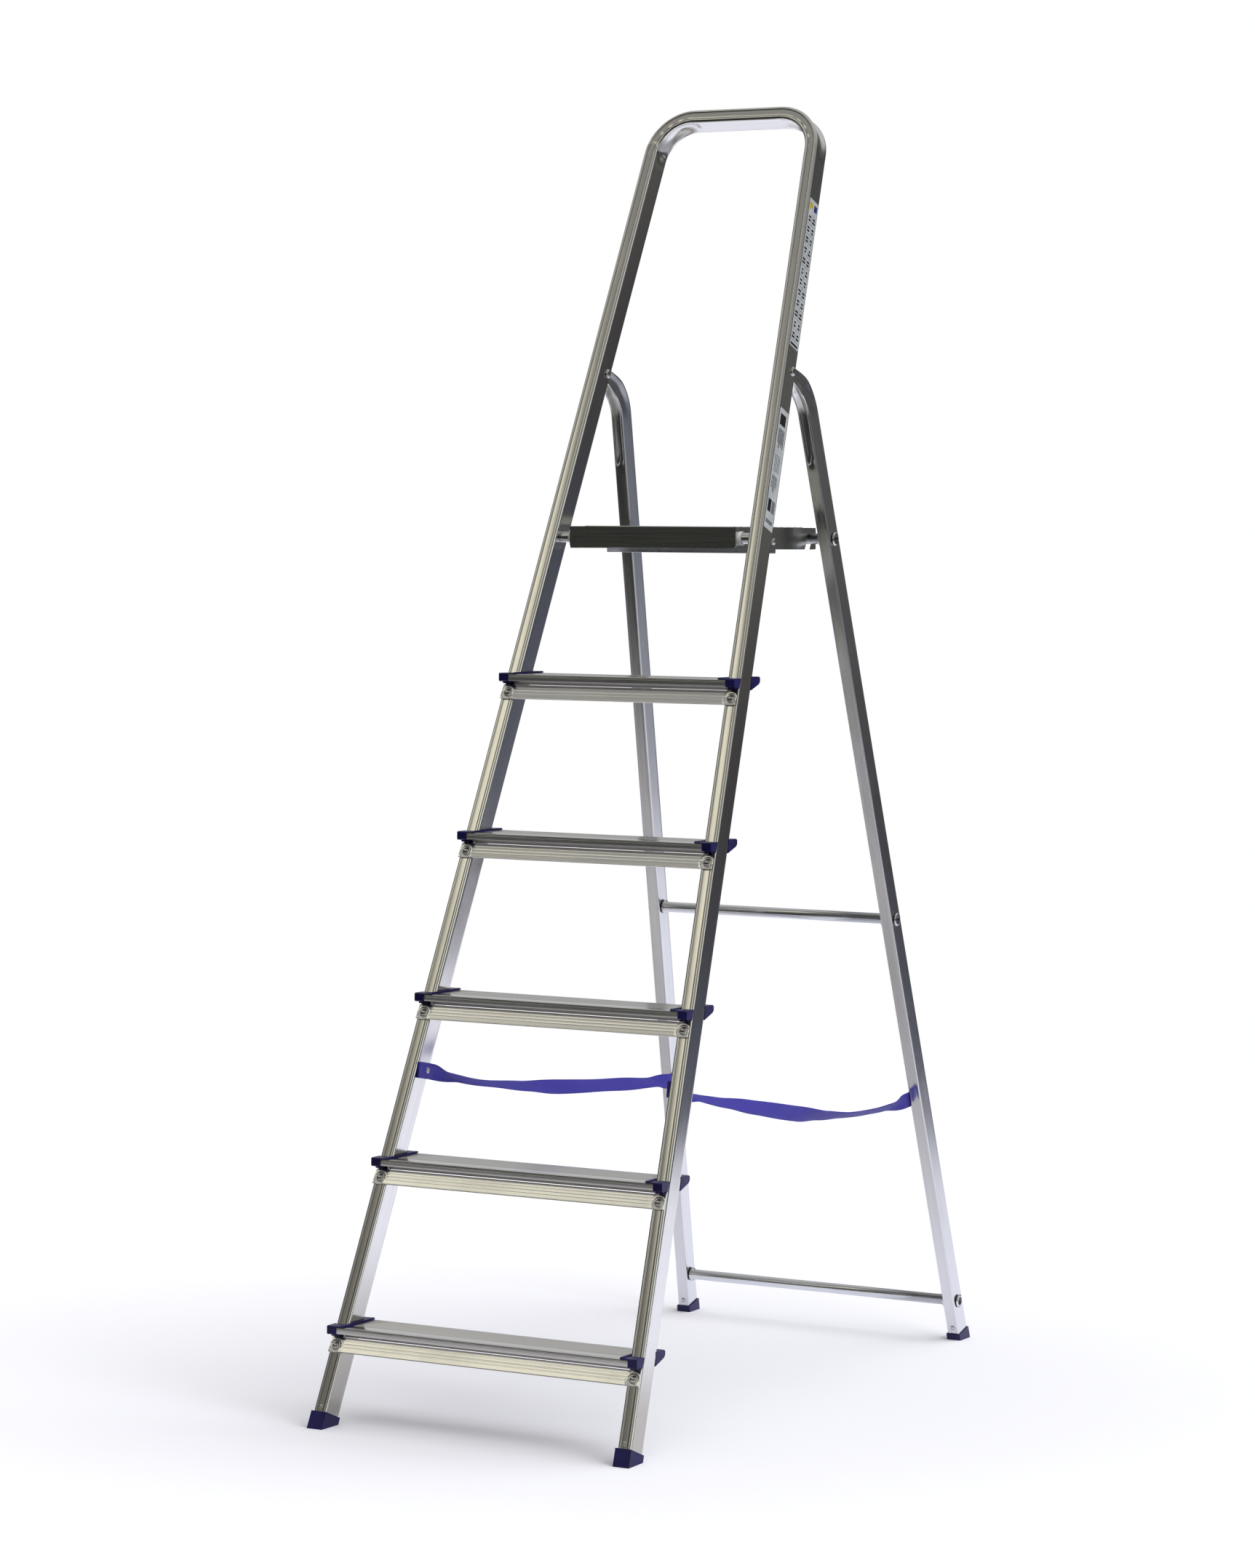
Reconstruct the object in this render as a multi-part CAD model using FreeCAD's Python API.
import FreeCAD, Part
import math
import os

# Step ladder with five treads, a folding platform and a hooped hand rail.
# Millimetres, +Z up, +X to the right of a person climbing it, +Y towards the rear legs.
# The origin is on the floor in the middle of the footprint of the opened ladder.

V = FreeCAD.Vector
X_AXIS = V(1, 0, 0)
ORIGIN = V(0, 0, 0)

# ---- driving dimensions: where the two frames stand ----
STILE_LEAN = 22.2        # degrees from vertical, leaning back going up
LEG_LEAN = 15.36         # degrees from vertical, leaning forward going up
REAR_FOOT_Y = 1075.8     # from the stiles' front face to the legs' front face, on the floor
FRONT_Y = -553.5         # the stiles' front face on the floor, seen from the origin

# ---- front frame: one bent rectangular tube ----
STILE_WIDE = 21.0
STILE_DEEP = 35.0
STILE_WALL = 1.4
STILE_HALF = 243.7       # half the distance between the stiles' centre lines, on the floor
STILE_SPLAY = 0.0556     # how much that half shrinks for each millimetre up the stile
HOOP_TOP = 2023.0        # centre line of the hoop, measured up the slope
HOOP_RADIUS = 62.0
TUBE_ROUND = 1.8
BEAD_HEIGHT = 0.6
BEAD_WIDE = 3.0

# ---- rear frame ----
LEG_WIDE = 19.0
LEG_DEEP = 30.0
LEG_WALL = 1.3
LEG_HALF = 238.1
LEG_SPLAY = 0.0552
LEG_BEND_START = 1472.0  # up the leg, where its top starts to curve forward
LEG_BEND_RADIUS = LEG_DEEP + 57.6

# ---- hinge between the frames ----
HINGE_Y = 633.5
HINGE_Z = 1483.5
HINGE_X = 154.0
HINGE_PIN = 4.0
HINGE_HEAD = 7.0         # radius of the rivet's heads
HINGE_DOME = 3.2
SPACER_RADIUS = 6.6
SLOT_SIDE = 1.5          # room beside the leg's tongue in the stile's back
SLOT_BELOW = 28.0
SLOT_OVER = 16.0
TONGUE_ROUND = 8.6
TONGUE_HALF = 5.0

# ---- treads ----
TREAD_COUNT = 5
FIRST_RIVET_Z = 111.0
TREAD_PITCH = 226.0
TREAD_TOP = 27.0         # tread surface above its rivets
NOSE_Y = -20.0           # tread section, measured from the stile's front face
REAR_Y = 60.0
PLATE = 2.4
WEB_FRONT = -2.2
WEB_BACK = -0.2
WEB_BOTTOM = -36.0
CAP_FRONT_WIDE = 13.5
GROOVE_PITCH = 4.2
GROOVE_WIDE = 1.8
GROOVE_DEEP = 0.7

# ---- platform and the bars ----
PLATFORM_TOP = 1257.0
PLATFORM_FRONT_Y = 511.4
PLATFORM_REAR_Y = 769.0
PLATFORM_HALF = 137.0
PLATFORM_BOTTOM = 1225.0
SHEET = 1.8
BAR_RADIUS = 8.0
BAR_WALL = 1.5
BAR_Z = 1241.0
REAR_BAR_LOWER_UP = 60.0
REAR_BAR_MIDDLE_UP = 687.0
BRACE_Y = 631.0
BRACE_HALF_WIDE = 11.0
BRACE_SHEET = 1.6
BOLT_RADIUS = 3.0
BOLT_Z = PLATFORM_TOP - 20.5
BUSH_SLEEVE = BAR_RADIUS + 2.0
BUSH_RIM = BAR_RADIUS + 3.6
RIDGE_COUNT = 11
RIDGE_PITCH = 21.5
FOLD_ANGLE = 37.5        # degrees, from opened to folded
TILT_RATIO = 1.8         # platform degrees for each degree of the rear frame

# ---- straps: (y, z) of their middle lines, from the stile's front face on the floor ----
STRAP_WIDE = 23.0
STRAP_THICK = 1.5
STRAP_LEFT = [(201, 484), (225, 481), (300, 462), (392, 443), (577, 418), (783, 400), (900, 391), (983, 385),
              (998, 384)]
STRAP_RIGHT = [(201, 484), (225, 481), (285, 461), (457, 430), (627, 399), (767, 383), (889, 380), (983, 385),
               (998, 386)]
STRAP_FRONT_RIVET = (225, 481)
STRAP_REAR_RIVET = (983, 385)
STRAP_X_FRONT = 202.7
STRAP_X_REAR = 205.9

# ---- stickers on the right stile's outer face ----
LABEL_DEEP = (4.0, 32.0)
PICTOGRAM_LABEL_UP = (1647.0, 1883.0)
DETAIL_LABEL_UP = (1362.0, 1548.0)
LABEL_THICK = 0.15

GAP = 0.3                # between a cap and the stile it clips round

lean = math.radians(STILE_LEAN)
leg_lean = math.radians(LEG_LEAN)
stile_turn = math.atan(STILE_SPLAY)
leg_turn = math.atan(LEG_SPLAY)


# ---------------------------------------------------------------- small helpers
def face_of(points):
    return Part.Face(Part.makePolygon([V(*p) for p in points] + [V(*points[0])]))


def box(x0, x1, y0, y1, z0, z1):
    return Part.makeBox(x1 - x0, y1 - y0, z1 - z0, V(x0, y0, z0))


def side_prism(points, x0, x1):
    """A (y, z) outline, extruded from x0 to x1."""
    return face_of([(x0, y, z) for y, z in points]).extrude(V(x1 - x0, 0, 0))


def x_rod(radius, x0, x1, y, z):
    return Part.makeCylinder(radius, x1 - x0, V(x0, y, z), X_AXIS)


def turned_x(profile, y, z):
    """A solid of revolution about the X line through (y, z); profile is (x, radius)."""
    outline = [(x, 0, r) for x, r in profile]
    solid = face_of(outline).revolve(ORIGIN, X_AXIS, 360)
    return solid.translate(V(0, y, z))


def mirrored(shape):
    return shape.mirror(ORIGIN, X_AXIS)


def fuse(shapes):
    return shapes[0].multiFuse(shapes[1:]).removeSplitter()


def front_place(shape):
    """From the front frame's own plane (x, depth, way up the slope) to the model."""
    out = shape.copy()
    out.rotate(ORIGIN, X_AXIS, -STILE_LEAN)
    out.translate(V(0, FRONT_Y, 0))
    return out


def rear_place(shape):
    """The same for the rear frame."""
    out = shape.copy()
    out.rotate(ORIGIN, X_AXIS, LEG_LEAN)
    out.translate(V(0, REAR_FOOT_Y + FRONT_Y, 0))
    return out


def front_local(y, z):
    """(depth, way up) in the front frame's plane of a point in the side view."""
    return y * math.cos(lean) - z * math.sin(lean), y * math.sin(lean) + z * math.cos(lean)


def rear_local(y, z):
    back = y - REAR_FOOT_Y
    depth = back * math.cos(leg_lean) + z * math.sin(leg_lean)
    return depth, z * math.cos(leg_lean) - back * math.sin(leg_lean)


def stile_x(up):
    return STILE_HALF - STILE_SPLAY * up


def leg_x(up):
    return LEG_HALF - LEG_SPLAY * up


def above(z):
    return box(-400, 400, -1200, 1200, z, 2600)


parts = {}


def keep(name, shape):
    parts[name] = shape


# ---------------------------------------------------------------- front frame tube
def hoop_side(offset, low):
    """Edges of the tube's path at an offset from its centre line, open at the bottom."""
    cos_t = math.cos(stile_turn)
    sin_t = math.sin(stile_turn)
    centre_up = HOOP_TOP - HOOP_RADIUS
    centre_x = STILE_HALF - (HOOP_RADIUS + centre_up * sin_t) / cos_t
    radius = HOOP_RADIUS + offset
    half_turn = (stile_turn + math.pi / 2) / 2
    foot = V(STILE_HALF + offset / cos_t - STILE_SPLAY * low, 0, low)
    start = V(centre_x + radius * cos_t, 0, centre_up + radius * sin_t)
    middle = V(centre_x + radius * math.cos(half_turn), 0, centre_up + radius * math.sin(half_turn))
    end = V(centre_x, 0, centre_up + radius)

    def left(p):
        return V(-p.x, p.y, p.z)

    edges = [
        Part.makeLine(foot, start),
        Part.Arc(start, middle, end).toShape(),
        Part.makeLine(end, left(end)),
        Part.Arc(left(end), left(middle), left(start)).toShape(),
        Part.makeLine(left(start), left(foot)),
    ]
    return edges, foot, left(foot)


def hoop_ring(outside, inside, front, back, low=-30.0):
    """The U-shaped band between two offsets of the path, from depth front to back."""
    outer, outer_right, outer_left = hoop_side(outside, low)
    inner, inner_right, inner_left = hoop_side(-inside, low)
    joins = [Part.makeLine(outer_right, inner_right), Part.makeLine(outer_left, inner_left)]
    wire = Part.Wire(Part.__sortEdges__(outer + inner + joins))
    band = Part.Face(wire).extrude(V(0, back - front, 0))
    return band.translate(V(0, front, 0))


def long_edges(shape, depths):
    found = []
    for edge in shape.Edges:
        ends = [edge.valueAt(edge.FirstParameter), edge.valueAt(edge.LastParameter)]
        flat = any(all(abs(p.y - d) < 1e-4 for p in ends) for d in depths)
        bottom = all(p.z < -29.0 for p in ends)
        if flat and not bottom:
            found.append(edge)
    return found


def stile_solid(slack):
    half = STILE_WIDE / 2 + slack
    return hoop_ring(half, half, -slack, STILE_DEEP + slack)


def web_rivet_spots():
    """(x, way up) of every tread rivet, on the stiles' centre lines."""
    spots = []
    for number in range(TREAD_COUNT):
        height = FIRST_RIVET_Z + number * TREAD_PITCH
        up = height / math.cos(lean) + WEB_FRONT * math.tan(lean)
        spots += [(stile_x(up), up), (-stile_x(up), up)]
    return spots


hinge_depth, hinge_up = front_local(HINGE_Y, HINGE_Z)
bar_depth = STILE_DEEP / 2
bar_up = (BAR_Z + bar_depth * math.sin(lean)) / math.cos(lean)
FRONT_BAR_Y = bar_depth * math.cos(lean) + bar_up * math.sin(lean)
REAR_BAR_DEPTH = LEG_DEEP / 2
UPPER_BAR_Y = REAR_FOOT_Y + (REAR_BAR_DEPTH - BAR_Z * math.sin(leg_lean)) / math.cos(leg_lean)
strap_front_depth, strap_front_up = front_local(*STRAP_FRONT_RIVET)
strap_rear_depth, strap_rear_up = rear_local(*STRAP_REAR_RIVET)
FRONT_FOOT_RIVET_UP = 32.0
REAR_FOOT_RIVET_UP = 20.0
RIVET_HOLE = 2.5
RIVET_SHANK = 2.45


def make_front_hoop():
    half = STILE_WIDE / 2
    tube = hoop_ring(half, half, 0, STILE_DEEP)
    tube = tube.makeFillet(TUBE_ROUND, long_edges(tube, (0, STILE_DEEP)))
    bore = half - STILE_WALL
    tube = tube.cut(hoop_ring(bore, bore, STILE_WALL, STILE_DEEP - STILE_WALL))
    valley = half - BEAD_WIDE
    tube = tube.cut(hoop_ring(valley, valley, -1, BEAD_HEIGHT))
    foot_spots = [(side * stile_x(FRONT_FOOT_RIVET_UP), FRONT_FOOT_RIVET_UP) for side in (1, -1)]
    for x, up in web_rivet_spots() + foot_spots:
        tube = tube.cut(Part.makeCylinder(RIVET_HOLE, 12, V(x, -3, up), V(0, 1, 0)))
    reach = stile_x(bar_up)
    for side in (1, -1):
        inner = (reach - 14, reach + 2)
        ends = inner if side > 0 else (-inner[1], -inner[0])
        tube = tube.cut(x_rod(BAR_RADIUS + 0.05, *ends, bar_depth, bar_up))
        strap_inner = (stile_x(strap_front_up) - 14, stile_x(strap_front_up) + 2)
        ends = strap_inner if side > 0 else (-strap_inner[1], -strap_inner[0])
        tube = tube.cut(x_rod(RIVET_HOLE, *ends, strap_front_depth, strap_front_up))
        middle = side * HINGE_X
        tube = tube.cut(x_rod(HINGE_PIN + 0.02, middle - 20, middle + 20, hinge_depth, hinge_up))
        slot_half = TONGUE_HALF + SLOT_SIDE
        tube = tube.cut(box(middle - slot_half, middle + slot_half, STILE_DEEP - 5, STILE_DEEP + 5,
                            hinge_up - SLOT_BELOW, hinge_up + SLOT_OVER))
    return front_place(tube).common(above(3.0))


# ---------------------------------------------------------------- treads and caps
def web_y(depth, z):
    """Where the stile's front plane, moved by depth, is at a height below the tread."""
    return (depth + z * math.sin(lean)) / math.cos(lean)


def tread_frame(number):
    """Tread surface height, the stile's front there, and its inner and outer faces."""
    top = FIRST_RIVET_Z + TREAD_TOP + number * TREAD_PITCH
    front = top * math.tan(lean)
    centre = stile_x(top / math.cos(lean))
    half = STILE_WIDE / 2 / math.cos(stile_turn)
    return top, front, centre - half, centre + half


def make_tread(number):
    top, front, inner, outer = tread_frame(number)
    deep_half = inner - 0.6
    nose_half = outer - CAP_FRONT_WIDE
    web_half = outer - 0.8

    def prism(points, half):
        return side_prism(points, -half, half)

    plate = prism([(-3, 0), (REAR_Y, 0), (REAR_Y, -10), (REAR_Y - PLATE, -10),
                   (REAR_Y - PLATE, -PLATE), (-3, -PLATE)], deep_half)
    ribs = [prism([(y, -1), (y + 1.6, -1), (y + 1.6, -8), (y, -8)], deep_half) for y in (20, 40)]
    nose = prism([(0, 0), (NOSE_Y + 1.5, 0), (NOSE_Y, -1.5), (NOSE_Y, -9.7), (NOSE_Y + 4, -9.7),
                  (NOSE_Y + 4, -8.2), (NOSE_Y + PLATE, -8.2), (NOSE_Y + PLATE, -PLATE), (0, -PLATE)],
                 nose_half)
    web = prism([(web_y(WEB_BACK, -1), -1), (web_y(WEB_FRONT, -1), -1),
                 (web_y(WEB_FRONT, -33), -33), (web_y(WEB_FRONT - 1, -34), -34),
                 (web_y(WEB_FRONT - 1, WEB_BOTTOM), WEB_BOTTOM), (web_y(WEB_BACK, WEB_BOTTOM), WEB_BOTTOM)],
                web_half)
    tread = fuse([plate, nose, web] + ribs)
    grooves = []
    y = NOSE_Y + 6
    while y < REAR_Y - 3:
        grooves.append(box(-260, 260, y, y + GROOVE_WIDE, -GROOVE_DEEP, 1))
        y += GROOVE_PITCH
    grooves.append(box(-260, 260, NOSE_Y - 1, NOSE_Y + 0.8, -4.2, -3.2))
    tread = tread.cut(Part.makeCompound(grooves))
    tread.translate(V(0, front, top))
    stile_room = stile_solid(0.15).copy()
    stile_room.rotate(ORIGIN, X_AXIS, -STILE_LEAN)
    tread = tread.cut(stile_room)
    for x, up in web_rivet_spots()[2 * number:2 * number + 2]:
        hole = Part.makeCylinder(RIVET_HOLE, 14, V(x, -7, up), V(0, 1, 0))
        hole.rotate(ORIGIN, X_AXIS, -STILE_LEAN)
        tread = tread.cut(hole)
    return tread.translate(V(0, FRONT_Y, 0))


def make_tread_cap(number):
    """The right-hand cap: nose block, bridge, lip beside the stile and wedge behind it."""
    top, front, inner, outer = tread_frame(number)
    nose = NOSE_Y - 1.2
    block_start = outer - CAP_FRONT_WIDE + 0.2
    proud = outer + 1.2
    block = side_prism([(nose + 1.4, 1.4), (nose, 0), (nose, -9.5), (nose + 2, -11), (-8, -11), (-8, 1.4)],
                       block_start, proud)
    bridge = side_prism([(nose + 1.4, 1.4), (nose + 0.2, 0.1), (-0.7, 0.1), (-0.7, 1.4)], inner - 4.8, proud)
    side = side_prism([(-9, 1.4), (0, 1.4), (web_y(0, -13), -13), (web_y(-3, -13), -13), (-12, -11)],
                      outer - 0.6, proud)
    lip = side_prism([(nose + 1.4, 2.0), (nose + 0.6, 0.1), (REAR_Y + 1.5, 0.1), (REAR_Y + 1.5, 1.6),
                      (REAR_Y, 2.6), (nose + 3, 2.6)], inner - 4.8, inner - 0.5)
    wedge = side_prism([(36, 2.6), (REAR_Y - 2, 2.6), (REAR_Y + 1.5, 0.5), (REAR_Y + 1.5, -5),
                        (REAR_Y - 2, -8.5), (34, -16.5)], inner - 0.5, outer - 0.3)
    tuck = side_prism([(-13.5, -10), (web_y(WEB_FRONT - 0.3, -10), -10), (web_y(WEB_FRONT - 0.3, -14), -14),
                       (-13.5, -14)], block_start, outer - 1.5)
    cap = fuse([block, bridge, side, lip, wedge, tuck])
    cap.translate(V(0, front, top))
    stile_room = stile_solid(GAP).copy()
    stile_room.rotate(ORIGIN, X_AXIS, -STILE_LEAN)
    cap = cap.cut(stile_room)
    solids = sorted(cap.Solids, key=lambda s: s.Volume)
    return solids[-1].translate(V(0, FRONT_Y, 0))


def rivet_solid(x, up, front, head, dome, bulb):
    """A round-head rivet along the front frame's depth, its flat side at depth front."""
    curve = []
    for step in range(7):
        angle = math.pi / 2 * step / 6
        curve.append((head * math.sin(angle), front - dome * math.cos(angle)))
    outline = curve + [(RIVET_SHANK, front), (RIVET_SHANK, STILE_WALL + 0.1), (bulb, STILE_WALL + 0.1),
                       (bulb, STILE_WALL + 3.0), (0, STILE_WALL + 4.5)]
    flat = face_of([(r, d, 0) for r, d in outline])
    return flat.revolve(ORIGIN, V(0, 1, 0), 360).translate(V(x, 0, up))


def make_web_rivets():
    rivets = [rivet_solid(x, up, WEB_FRONT, 5.2, 3.6, 3.6) for x, up in web_rivet_spots()]
    return front_place(Part.makeCompound(rivets))


# ---------------------------------------------------------------- feet
def splayed_block(half, x_at, turn, deep0, deep1, up0, up1):
    """A block round a splayed tube's centre line, on the right-hand side."""
    across = half / math.cos(turn)
    outline = [(x_at(up0) - across, deep0, up0), (x_at(up0) + across, deep0, up0),
               (x_at(up1) + across, deep0, up1), (x_at(up1) - across, deep0, up1)]
    return face_of(outline).extrude(V(0, deep1 - deep0, 0))


def make_foot(wide, deep, wall, x_at, turn, place, height, plug):
    """A boot over the tube's end, with a plug inside the tube; its sole is 3 mm thick."""
    shell = 1.8
    boot = splayed_block(wide / 2 + shell, x_at, turn, -shell, deep + shell, -30, height)
    room = splayed_block(wide / 2 + 0.05, x_at, turn, -0.05, deep + 0.05, -30, height + 5)
    inside = wide / 2 - wall - 0.1
    core = splayed_block(inside, x_at, turn, wall + 0.1, deep - wall - 0.1, -30, plug)
    boot = place(boot).cut(place(room).common(above(2.95)))
    return fuse([boot, place(core)]).common(above(0.0))


def foot_rivets(deep_front, x_at, up, place):
    rivets = []
    for side in (1, -1):
        rivets.append(rivet_solid(side * x_at(up), up, deep_front, 3.6, 1.8, RIVET_SHANK))
    return place(Part.makeCompound(rivets))


# ---------------------------------------------------------------- bars
def bar_profile(half, beads):
    """Outline of a round bar with raised collars: beads are (x, half length, radius)."""
    outline = [(-half, 0), (-half, BAR_RADIUS)]
    for x, length, radius in sorted([(-b[0], b[1], b[2]) for b in beads] + list(beads)):
        outline += [(x - length, BAR_RADIUS), (x - length + 0.6, radius),
                    (x + length - 0.6, radius), (x + length, BAR_RADIUS)]
    outline += [(half, BAR_RADIUS), (half, 0)]
    return outline


def make_bar(half, beads, y, z):
    bar = turned_x(bar_profile(half, beads), 0, 0)
    bar = bar.cut(x_rod(BAR_RADIUS - BAR_WALL, -half - 1, half + 1, 0, 0))
    return bar.translate(V(0, y, z))


def make_front_bar():
    half = stile_x(bar_up) + STILE_WIDE / 2 - STILE_WALL - 1.2
    return make_bar(half, [], FRONT_BAR_Y + FRONT_Y, BAR_Z)


def rear_bar_up(number):
    """Way up the leg of each rear bar: lower, middle, upper."""
    upper = rear_local(UPPER_BAR_Y, BAR_Z)[1]
    return (REAR_BAR_LOWER_UP, REAR_BAR_MIDDLE_UP, upper)[number]


def make_rear_bar(number):
    up = rear_bar_up(number)
    inner = leg_x(up) - LEG_WIDE / 2
    outer = leg_x(up) + LEG_WIDE / 2
    collar = (inner - 2.7, 1.9, 10.4)
    flare = (outer + 1.8, 1.1, 10.0)
    bar = make_bar(outer + 3.2, [collar, flare], REAR_BAR_DEPTH, up)
    return rear_place(bar)


# ---------------------------------------------------------------- rear legs
def leg_side_outline():
    """Curved top of the leg in its side view, as a face of arcs and lines."""
    tongue_depth, tongue_up = rear_local(HINGE_Y, HINGE_Z)
    centre_depth = LEG_DEEP - LEG_BEND_RADIUS
    inner_radius = -centre_depth

    def around(radius, angle):
        return V(0, centre_depth + radius * math.cos(angle), LEG_BEND_START + radius * math.sin(angle))

    toward = math.atan2(tongue_up - LEG_BEND_START, tongue_depth - centre_depth)
    tip = around(math.hypot(tongue_up - LEG_BEND_START, tongue_depth - centre_depth) + TONGUE_ROUND, toward)
    inner_end = math.radians(38)
    hinge = V(0, tongue_depth, tongue_up)

    def on_tongue(angle):
        return hinge + V(0, TONGUE_ROUND * math.cos(angle), TONGUE_ROUND * math.sin(angle))

    low_angle = math.radians(222)
    outer_start = V(0, LEG_DEEP, LEG_BEND_START)
    inner_start = V(0, 0, LEG_BEND_START)
    edges = [
        Part.Arc(outer_start, around(LEG_BEND_RADIUS, toward / 2), tip).toShape(),
        Part.Arc(tip, on_tongue((toward + low_angle) / 2), on_tongue(low_angle)).toShape(),
        Part.makeLine(on_tongue(low_angle), around(inner_radius, inner_end)),
        Part.Arc(around(inner_radius, inner_end), around(inner_radius, inner_end / 2), inner_start).toShape(),
        Part.makeLine(inner_start, outer_start),
    ]
    return Part.Face(Part.Wire(edges))


def cheek_cutter():
    """What is taken off each cheek, so that the leg's top is thin round the hinge."""
    near, far = 26.0, 46.0
    outline = [(TONGUE_HALF, 0), (TONGUE_HALF, near), (LEG_WIDE / 2 + 2.5, far), (40, far), (40, 0)]
    return turned_x(outline, 0, 0)


def make_rear_leg():
    across = LEG_WIDE / 2
    straight = box(-across, across, 0, LEG_DEEP, -30, LEG_BEND_START)
    corners = [e for e in straight.Edges if abs(e.Vertexes[0].Z - e.Vertexes[-1].Z) > 100]
    straight = straight.makeFillet(TUBE_ROUND, corners)
    curved = leg_side_outline().extrude(V(LEG_WIDE, 0, 0)).translate(V(-across, 0, 0))
    leg = straight.fuse(curved)
    bore = across - LEG_WALL
    leg = leg.cut(box(-bore, bore, LEG_WALL, LEG_DEEP - LEG_WALL, -40, LEG_BEND_START + 22))
    leg.rotate(ORIGIN, V(0, 1, 0), -math.degrees(leg_turn))
    leg.translate(V(LEG_HALF, 0, 0))
    tongue_depth, tongue_up = rear_local(HINGE_Y, HINGE_Z)
    cutter = cheek_cutter()
    for piece in (cutter, mirrored(cutter)):
        piece.translate(V(HINGE_X, tongue_depth, tongue_up))
        leg = leg.cut(piece)
    leg = leg.cut(x_rod(HINGE_PIN + 0.06, HINGE_X - 20, HINGE_X + 20, tongue_depth, tongue_up))
    for number in range(3):
        leg = leg.cut(x_rod(BAR_RADIUS + 0.05, 100, 300, REAR_BAR_DEPTH, rear_bar_up(number)))
    inner_wall = leg_x(strap_rear_up) - 14
    leg = leg.cut(x_rod(RIVET_HOLE, inner_wall, inner_wall + 12, strap_rear_depth, strap_rear_up))
    foot_hole = V(leg_x(REAR_FOOT_RIVET_UP), -3, REAR_FOOT_RIVET_UP)
    leg = leg.cut(Part.makeCylinder(RIVET_HOLE, 8, foot_hole, V(0, 1, 0)))
    return rear_place(leg).common(above(3.0))


# ---------------------------------------------------------------- hinge
def make_hinge_rivets():
    """Round-head rivets through the stiles and the legs' tongues, clear of the splayed walls."""
    under_head = STILE_WIDE / 2 + HINGE_HEAD * STILE_SPLAY + 0.06
    dome = []
    for step in range(7):
        angle = math.pi / 2 * step / 6
        dome.append((under_head + HINGE_DOME * math.cos(angle), HINGE_HEAD * math.sin(angle)))
    right_half = dome + [(under_head, HINGE_PIN)]
    left_half = [(-x, r) for x, r in reversed(right_half)]
    rivets = []
    for side in (1, -1):
        outline = [(x + side * HINGE_X, r) for x, r in right_half + left_half]
        rivets.append(turned_x(outline, HINGE_Y + FRONT_Y, HINGE_Z))
    return Part.makeCompound(rivets)


def make_hinge_spacers():
    rings = []
    near, far = TONGUE_HALF + 0.1, TONGUE_HALF + 3.0
    for side in (1, -1):
        for low, high in ((near, far), (-far, -near)):
            middle = side * HINGE_X
            ring = x_rod(SPACER_RADIUS, middle + low, middle + high, HINGE_Y + FRONT_Y, HINGE_Z)
            bore = x_rod(HINGE_PIN + 0.03, middle + low - 1, middle + high + 1, HINGE_Y + FRONT_Y, HINGE_Z)
            rings.append(ring.cut(bore))
    return Part.makeCompound(rings)


# ---------------------------------------------------------------- platform
def bar_seen_from_platform(angle):
    """(y, z) of the upper rear bar in the platform's frame, the rear frame folded by angle."""
    fold = math.radians(angle)
    tilt = math.radians(angle * TILT_RATIO)
    y, z = UPPER_BAR_Y - HINGE_Y, BAR_Z - HINGE_Z
    moved = (HINGE_Y + y * math.cos(fold) + z * math.sin(fold),
             HINGE_Z - y * math.sin(fold) + z * math.cos(fold))
    y, z = moved[0] - FRONT_BAR_Y, moved[1] - BAR_Z
    return (FRONT_BAR_Y + y * math.cos(tilt) + z * math.sin(tilt),
            BAR_Z - y * math.sin(tilt) + z * math.cos(tilt))


def hook_room():
    """The space that the upper rear bar needs in the side flanges as it leaves the hook."""
    shapes = []
    radius = BAR_RADIUS + GAP
    for step in range(15):
        y, z = bar_seen_from_platform(step * 0.4)
        shapes.append(x_rod(radius, -150, 150, y, z))
    spots = [bar_seen_from_platform(step * 0.4) for step in range(15)]
    for (y0, z0), (y1, z1) in zip(spots, spots[1:]):
        along = math.hypot(y1 - y0, z1 - z0)
        ny, nz = -(z1 - z0) / along * radius, (y1 - y0) / along * radius
        shapes.append(side_prism([(y0 + ny, z0 + nz), (y1 + ny, z1 + nz), (y1 - ny, z1 - nz),
                                  (y0 - ny, z0 - nz)], -150, 150))
    return fuse(shapes)


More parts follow.
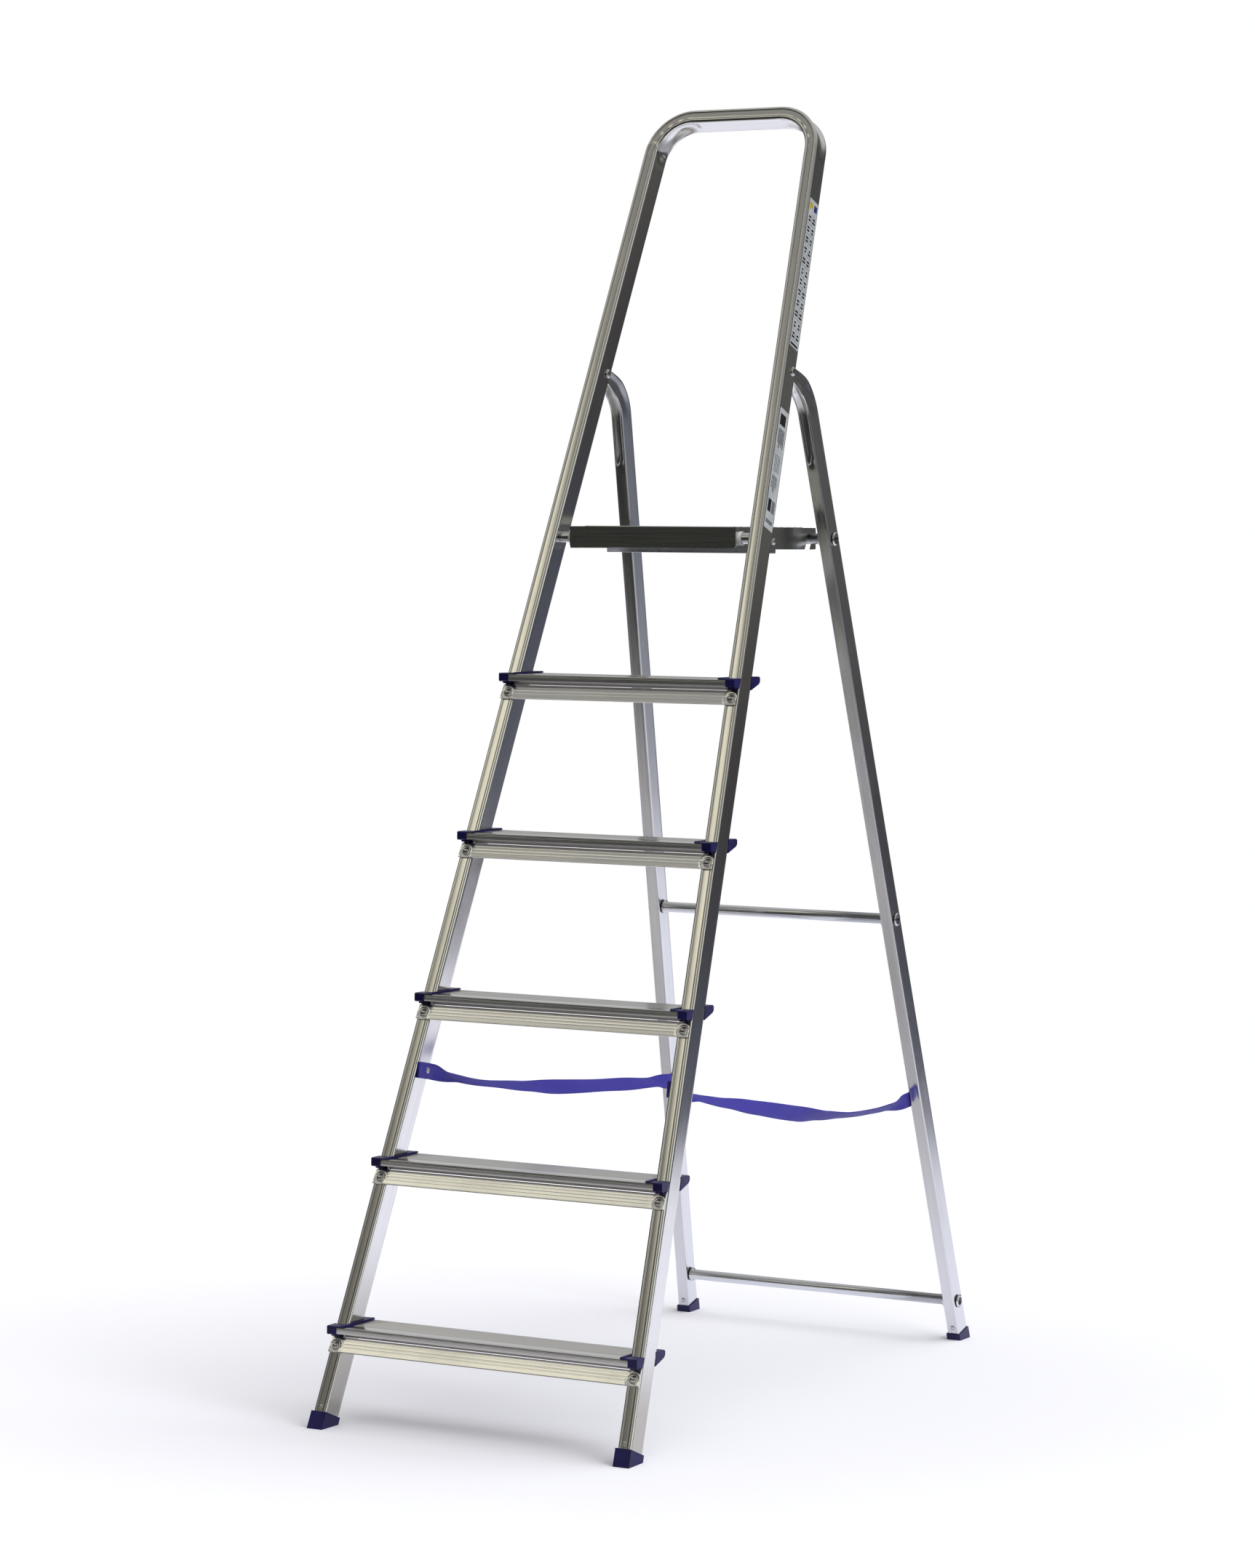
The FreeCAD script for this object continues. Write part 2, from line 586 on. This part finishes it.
def make_platform_tray():
    half = PLATFORM_HALF
    top = box(-half, half, PLATFORM_FRONT_Y, PLATFORM_REAR_Y - 1, PLATFORM_TOP - SHEET, PLATFORM_TOP)
    flange = side_prism([(PLATFORM_FRONT_Y + 0.4, PLATFORM_TOP), (PLATFORM_REAR_Y - 3, PLATFORM_TOP),
                         (PLATFORM_REAR_Y, PLATFORM_TOP - 3), (PLATFORM_REAR_Y, PLATFORM_BOTTOM + 2),
                         (PLATFORM_REAR_Y - 2, PLATFORM_BOTTOM), (UPPER_BAR_Y - 14, PLATFORM_BOTTOM),
                         (PLATFORM_FRONT_Y + 2, PLATFORM_BOTTOM)], half - SHEET, half)
    apron = box(-half, half, PLATFORM_FRONT_Y, PLATFORM_FRONT_Y + SHEET, PLATFORM_BOTTOM + 1.5, PLATFORM_TOP)
    apron_edges = [e for e in apron.Edges if abs(e.Vertexes[0].Y - e.Vertexes[-1].Y) > 1
                   and e.Vertexes[0].Z < PLATFORM_TOP - 5]
    apron = apron.makeFillet(4.0, apron_edges)
    rear_lip = box(-half, half, PLATFORM_REAR_Y - 1 - SHEET, PLATFORM_REAR_Y - 1,
                   PLATFORM_TOP - 7.5, PLATFORM_TOP)
    ridges = []
    for row in range(RIDGE_COUNT):
        y = PLATFORM_FRONT_Y + 20 + row * RIDGE_PITCH
        ridge = side_prism([(y, -0.1), (y + 1, 0.9), (y + 5, 0.9), (y + 6, -0.1)], -half + 14, half - 14)
        ridges.append(ridge.translate(V(0, 0, PLATFORM_TOP)))
    tray = fuse([top, flange, mirrored(flange), apron, rear_lip] + ridges)
    tray = tray.cut(hook_room())
    tray = tray.cut(x_rod(BUSH_SLEEVE + 0.02, -150, 150, FRONT_BAR_Y, BAR_Z))
    tray = tray.cut(x_rod(BOLT_RADIUS + 0.05, -150, 150, BRACE_Y, BOLT_Z))
    return tray.translate(V(0, FRONT_Y, 0))


def make_platform_bushes():
    """Flanged bushes that carry the side flanges on the front bar."""
    rings = []
    bore = BAR_RADIUS + 0.06
    flange_inside = PLATFORM_HALF - SHEET
    for side in (1, -1):
        profile = [(flange_inside - 2.5, bore), (flange_inside - 2.5, BUSH_RIM),
                   (flange_inside - 0.05, BUSH_RIM), (flange_inside - 0.05, BUSH_SLEEVE),
                   (PLATFORM_HALF + 4.5, BUSH_SLEEVE),
                   (PLATFORM_HALF + 5.5, BUSH_SLEEVE - 0.8), (PLATFORM_HALF + 5.5, bore)]
        ring = turned_x([(side * x, r) for x, r in profile], FRONT_BAR_Y + FRONT_Y, BAR_Z)
        rings.append(ring)
    return Part.makeCompound(rings)


def make_platform_brace():
    """A channel under the tray, with an end tab bolted to each side flange."""
    half = PLATFORM_HALF - SHEET - 0.1
    low = PLATFORM_BOTTOM - 6.0
    wide = BRACE_HALF_WIDE
    inside = wide - BRACE_SHEET
    channel = side_prism([(-wide, 0), (wide, 0), (wide, 13), (inside, 13), (inside, BRACE_SHEET),
                          (-inside, BRACE_SHEET), (-inside, 13), (-wide, 13)], -half, half)
    channel.translate(V(0, BRACE_Y, low))
    tab = box(half - BRACE_SHEET, half, BRACE_Y - wide, BRACE_Y + wide, low, PLATFORM_TOP - SHEET - 3)
    brace = fuse([channel, tab, mirrored(tab)])
    brace = brace.cut(x_rod(BOLT_RADIUS + 0.05, -150, 150, BRACE_Y, BOLT_Z))
    return brace.translate(V(0, FRONT_Y, 0))


def hexagon(across_flats, x0, x1):
    corner = across_flats / math.sqrt(3)
    points = [(corner * math.cos(math.radians(60 * k)), corner * math.sin(math.radians(60 * k)))
              for k in range(6)]
    return side_prism(points, x0, x1)


def make_brace_bolts():
    bolts = []
    for side in (1, -1):
        x_out = PLATFORM_HALF + 0.05
        dome = [(x_out, 0), (x_out, 5.2), (x_out + 1.6, 4.6), (x_out + 2.8, 2.4), (x_out + 3.0, 0)]
        head = turned_x(dome, 0, 0)
        shank = x_rod(BOLT_RADIUS, x_out - 12, x_out + 0.5, 0, 0)
        bolt = fuse([head, shank])
        bolt = bolt if side > 0 else mirrored(bolt)
        bolts.append(bolt.translate(V(0, BRACE_Y + FRONT_Y, BOLT_Z)))
    return Part.makeCompound(bolts)


def make_brace_nuts():
    nuts = []
    for side in (1, -1):
        face = PLATFORM_HALF - SHEET - 0.1 - BRACE_SHEET - 0.05
        nut = hexagon(10.0, face - 5.0, face).cut(x_rod(BOLT_RADIUS + 0.03, face - 6, face + 1, 0, 0))
        nut = nut if side > 0 else mirrored(nut)
        nuts.append(nut.translate(V(0, BRACE_Y + FRONT_Y, BOLT_Z)))
    return Part.makeCompound(nuts)


# ---------------------------------------------------------------- straps
def make_strap(route, side):
    """A flat ribbon on edge, its middle line a smooth curve through the route's points."""
    start, end = route[0][0], route[-1][0]

    def lane(shift):
        points = []
        for index, (y, z) in enumerate(route):
            before = route[max(index - 1, 0)]
            after = route[min(index + 1, len(route) - 1)]
            run = math.hypot(after[0] - before[0], after[1] - before[1])
            ny, nz = -(after[1] - before[1]) / run, (after[0] - before[0]) / run
            share = (y - start) / (end - start)
            x = STRAP_X_FRONT + (STRAP_X_REAR - STRAP_X_FRONT) * share - 0.0575 * shift
            points.append(V(x, y + ny * shift, z + nz * shift))
        curve = Part.BSplineCurve()
        curve.interpolate(points)
        return curve.toShape()

    face = Part.makeRuledSurface(lane(STRAP_WIDE / 2), lane(-STRAP_WIDE / 2))
    strap = face.extrude(V(-STRAP_THICK, 0, 0))
    for y, z in (STRAP_FRONT_RIVET, STRAP_REAR_RIVET):
        strap = strap.cut(x_rod(RIVET_HOLE, 180, 230, y, z))
    strap = strap.translate(V(0, FRONT_Y, 0))
    return strap if side > 0 else mirrored(strap)


def strap_rivet(x_strap, x_wall, wall):
    """A flat-head rivet along +X: head inside the strap, tail behind the tube's wall."""
    head = x_strap - STRAP_THICK - 1.1
    outline = [(head - 1.2, 0), (head - 1.2, 2.6), (head, 5.0), (head + 0.4, 5.0), (head + 0.4, RIVET_SHANK),
               (x_wall + wall + 0.6, RIVET_SHANK), (x_wall + wall + 0.6, 3.6), (x_wall + wall + 3.0, 3.2),
               (x_wall + wall + 3.6, 0)]
    return turned_x(outline, 0, 0)


def make_strap_rivets(at, x_strap, x_wall, wall):
    rivet = strap_rivet(x_strap, x_wall, wall).translate(V(0, at[0] + FRONT_Y, at[1]))
    return Part.makeCompound([rivet, mirrored(rivet)])


# ---------------------------------------------------------------- stickers
def make_label(up0, up1):
    """A thin sticker on the right stile's outer face."""
    deep0, deep1 = LABEL_DEEP
    near = STILE_WIDE / 2 + 0.02
    far = near + LABEL_THICK
    cos_t = math.cos(stile_turn)
    outline = [(stile_x(up0) + near / cos_t, deep0, up0), (stile_x(up0) + far / cos_t, deep0, up0),
               (stile_x(up1) + far / cos_t, deep0, up1), (stile_x(up1) + near / cos_t, deep0, up1)]
    return front_place(face_of(outline).extrude(V(0, deep1 - deep0, 0)))


# ---------------------------------------------------------------- all the parts
keep("front_hoop", make_front_hoop())
for number in range(TREAD_COUNT):
    cap = make_tread_cap(number)
    keep("tread_%d" % (number + 1), make_tread(number))
    keep("tread_cap_right_%d" % (number + 1), cap)
    keep("tread_cap_left_%d" % (number + 1), mirrored(cap))
keep("tread_rivets", make_web_rivets())

front_foot = make_foot(STILE_WIDE, STILE_DEEP, STILE_WALL, stile_x, stile_turn, front_place, 25.0, 45.0)
front_foot = front_foot.cut(front_place(Part.makeCylinder(
    RIVET_HOLE + 1.4, 8, V(stile_x(FRONT_FOOT_RIVET_UP), -2, FRONT_FOOT_RIVET_UP), V(0, 1, 0))))
keep("front_foot_right", front_foot)
keep("front_foot_left", mirrored(front_foot))
keep("front_foot_rivets", foot_rivets(BEAD_HEIGHT, stile_x, FRONT_FOOT_RIVET_UP, front_place))

rear_foot = make_foot(LEG_WIDE, LEG_DEEP, LEG_WALL, leg_x, leg_turn, rear_place, 10.0, 32.0)
rear_foot = rear_foot.cut(rear_place(Part.makeCylinder(
    RIVET_HOLE + 1.4, 8, V(leg_x(REAR_FOOT_RIVET_UP), -2, REAR_FOOT_RIVET_UP), V(0, 1, 0))))
keep("rear_foot_right", rear_foot)
keep("rear_foot_left", mirrored(rear_foot))
keep("rear_foot_rivets", foot_rivets(0.0, leg_x, REAR_FOOT_RIVET_UP, rear_place))

leg = make_rear_leg()
keep("rear_leg_right", leg)
keep("rear_leg_left", mirrored(leg))
for number, name in enumerate(("rear_bar_lower", "rear_bar_middle", "rear_bar_upper")):
    keep(name, make_rear_bar(number))

keep("hinge_rivets", make_hinge_rivets())
keep("hinge_spacers", make_hinge_spacers())
keep("front_bar", make_front_bar())

keep("platform_tray", make_platform_tray())
keep("platform_bushes", make_platform_bushes())
keep("platform_brace", make_platform_brace())
keep("brace_bolts", make_brace_bolts())
keep("brace_nuts", make_brace_nuts())

keep("strap_left", make_strap(STRAP_LEFT, -1))
keep("strap_right", make_strap(STRAP_RIGHT, 1))
keep("strap_rivets_front", make_strap_rivets(
    STRAP_FRONT_RIVET, STRAP_X_FRONT, stile_x(strap_front_up) - STILE_WIDE / 2, STILE_WALL))
keep("strap_rivets_rear", make_strap_rivets(
    STRAP_REAR_RIVET, STRAP_X_REAR, leg_x(strap_rear_up) - LEG_WIDE / 2, LEG_WALL))

keep("label_pictograms", make_label(*PICTOGRAM_LABEL_UP))
keep("label_details", make_label(*DETAIL_LABEL_UP))

os.makedirs("parts", exist_ok=True)
for name, shape in parts.items():
    shape.exportStep("parts/" + name + ".step")
    print("%-24s solids %2d valid %s volume %9.0f" % (name, len(shape.Solids), shape.isValid(), shape.Volume))
